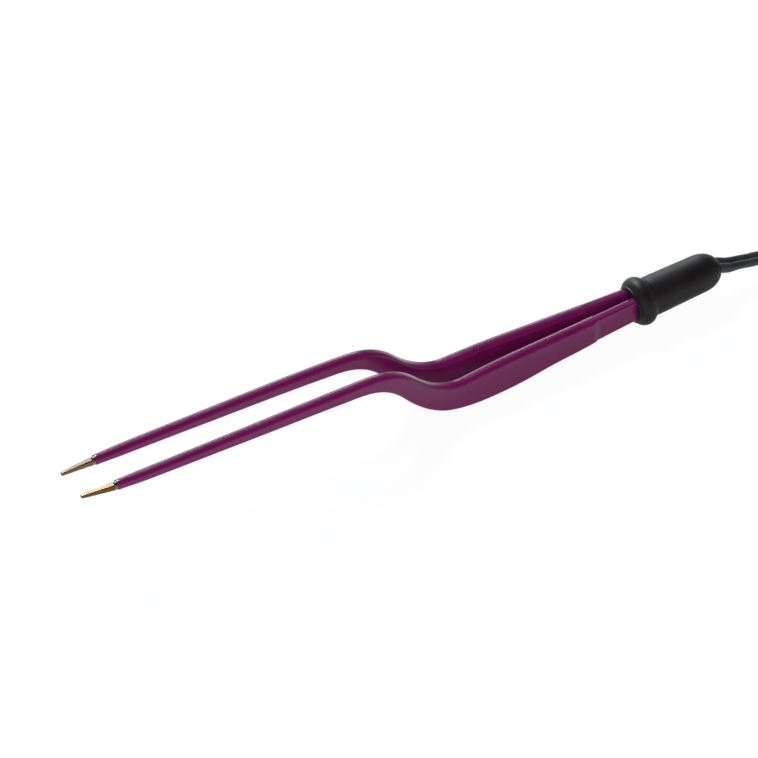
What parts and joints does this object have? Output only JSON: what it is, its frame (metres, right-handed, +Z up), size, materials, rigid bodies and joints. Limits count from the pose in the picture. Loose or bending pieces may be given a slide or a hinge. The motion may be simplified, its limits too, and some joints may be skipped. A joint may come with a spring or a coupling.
{
  "type": "bipolar forceps",
  "caption": "Bayonet bipolar forceps with purple insulated spring arms, gold-plated tips, a black rubber boot and a tied twin lead ending in a two-pin plug.",
  "frame": {"origin": "middle of the forceps' footprint on the surface it lies on, without its lead, hank and plug", "axes": "tips toward -X and boot toward +X, the two arms side by side along Y, +Z up"},
  "size_m": [0.459, 0.0462, 0.0255],
  "materials": {
    "insulation": "satin purple coat",
    "blade": "stainless steel",
    "tip_plating": "polished gold plating",
    "terminal": "tinned",
    "strands": "bare copper strands",
    "boot": "satin black",
    "spacer": "matte black",
    "lead": "satin black jacket",
    "tie": "matte white",
    "plug": "satin black",
    "plug_insert": "matte black",
    "plug_pin": "nickel plated"
  },
  "bodies": {
    "boot_and_lead": {"boot": "boot", "spacer_block": "spacer", "cord_lead": "lead", "cord_hank": "lead", "cord_tail": "lead", "hank_tie": "tie", "plug_body": "plug", "plug_insert": "plug_insert", "plug_pin_1": "plug_pin", "plug_pin_2": "plug_pin", "plug_relief": "plug"},
    "left_arm": {"insulation_left": "insulation", "blade_left": "blade", "tip_left": "tip_plating", "terminal_left": "terminal", "strands_left": "strands"},
    "right_arm": {"insulation_right": "insulation", "blade_right": "blade", "tip_right": "tip_plating", "terminal_right": "terminal", "strands_right": "strands"}
  },
  "joints": [
    {"name": "left_arm_close", "type": "hinge", "parent": "boot_and_lead", "child": "left_arm", "pos_m": [0.084, -0.00205, 0.00765], "axis": [0, 0, -1], "range_deg": [0, 1.5], "stiffness_Nm_per_rad": 3.2},
    {"name": "right_arm_close", "type": "hinge", "parent": "boot_and_lead", "child": "right_arm", "pos_m": [0.084, 0.00205, 0.00765], "axis": [0, 0, 1], "range_deg": [0, 1.5], "stiffness_Nm_per_rad": 3.2}
  ]
}
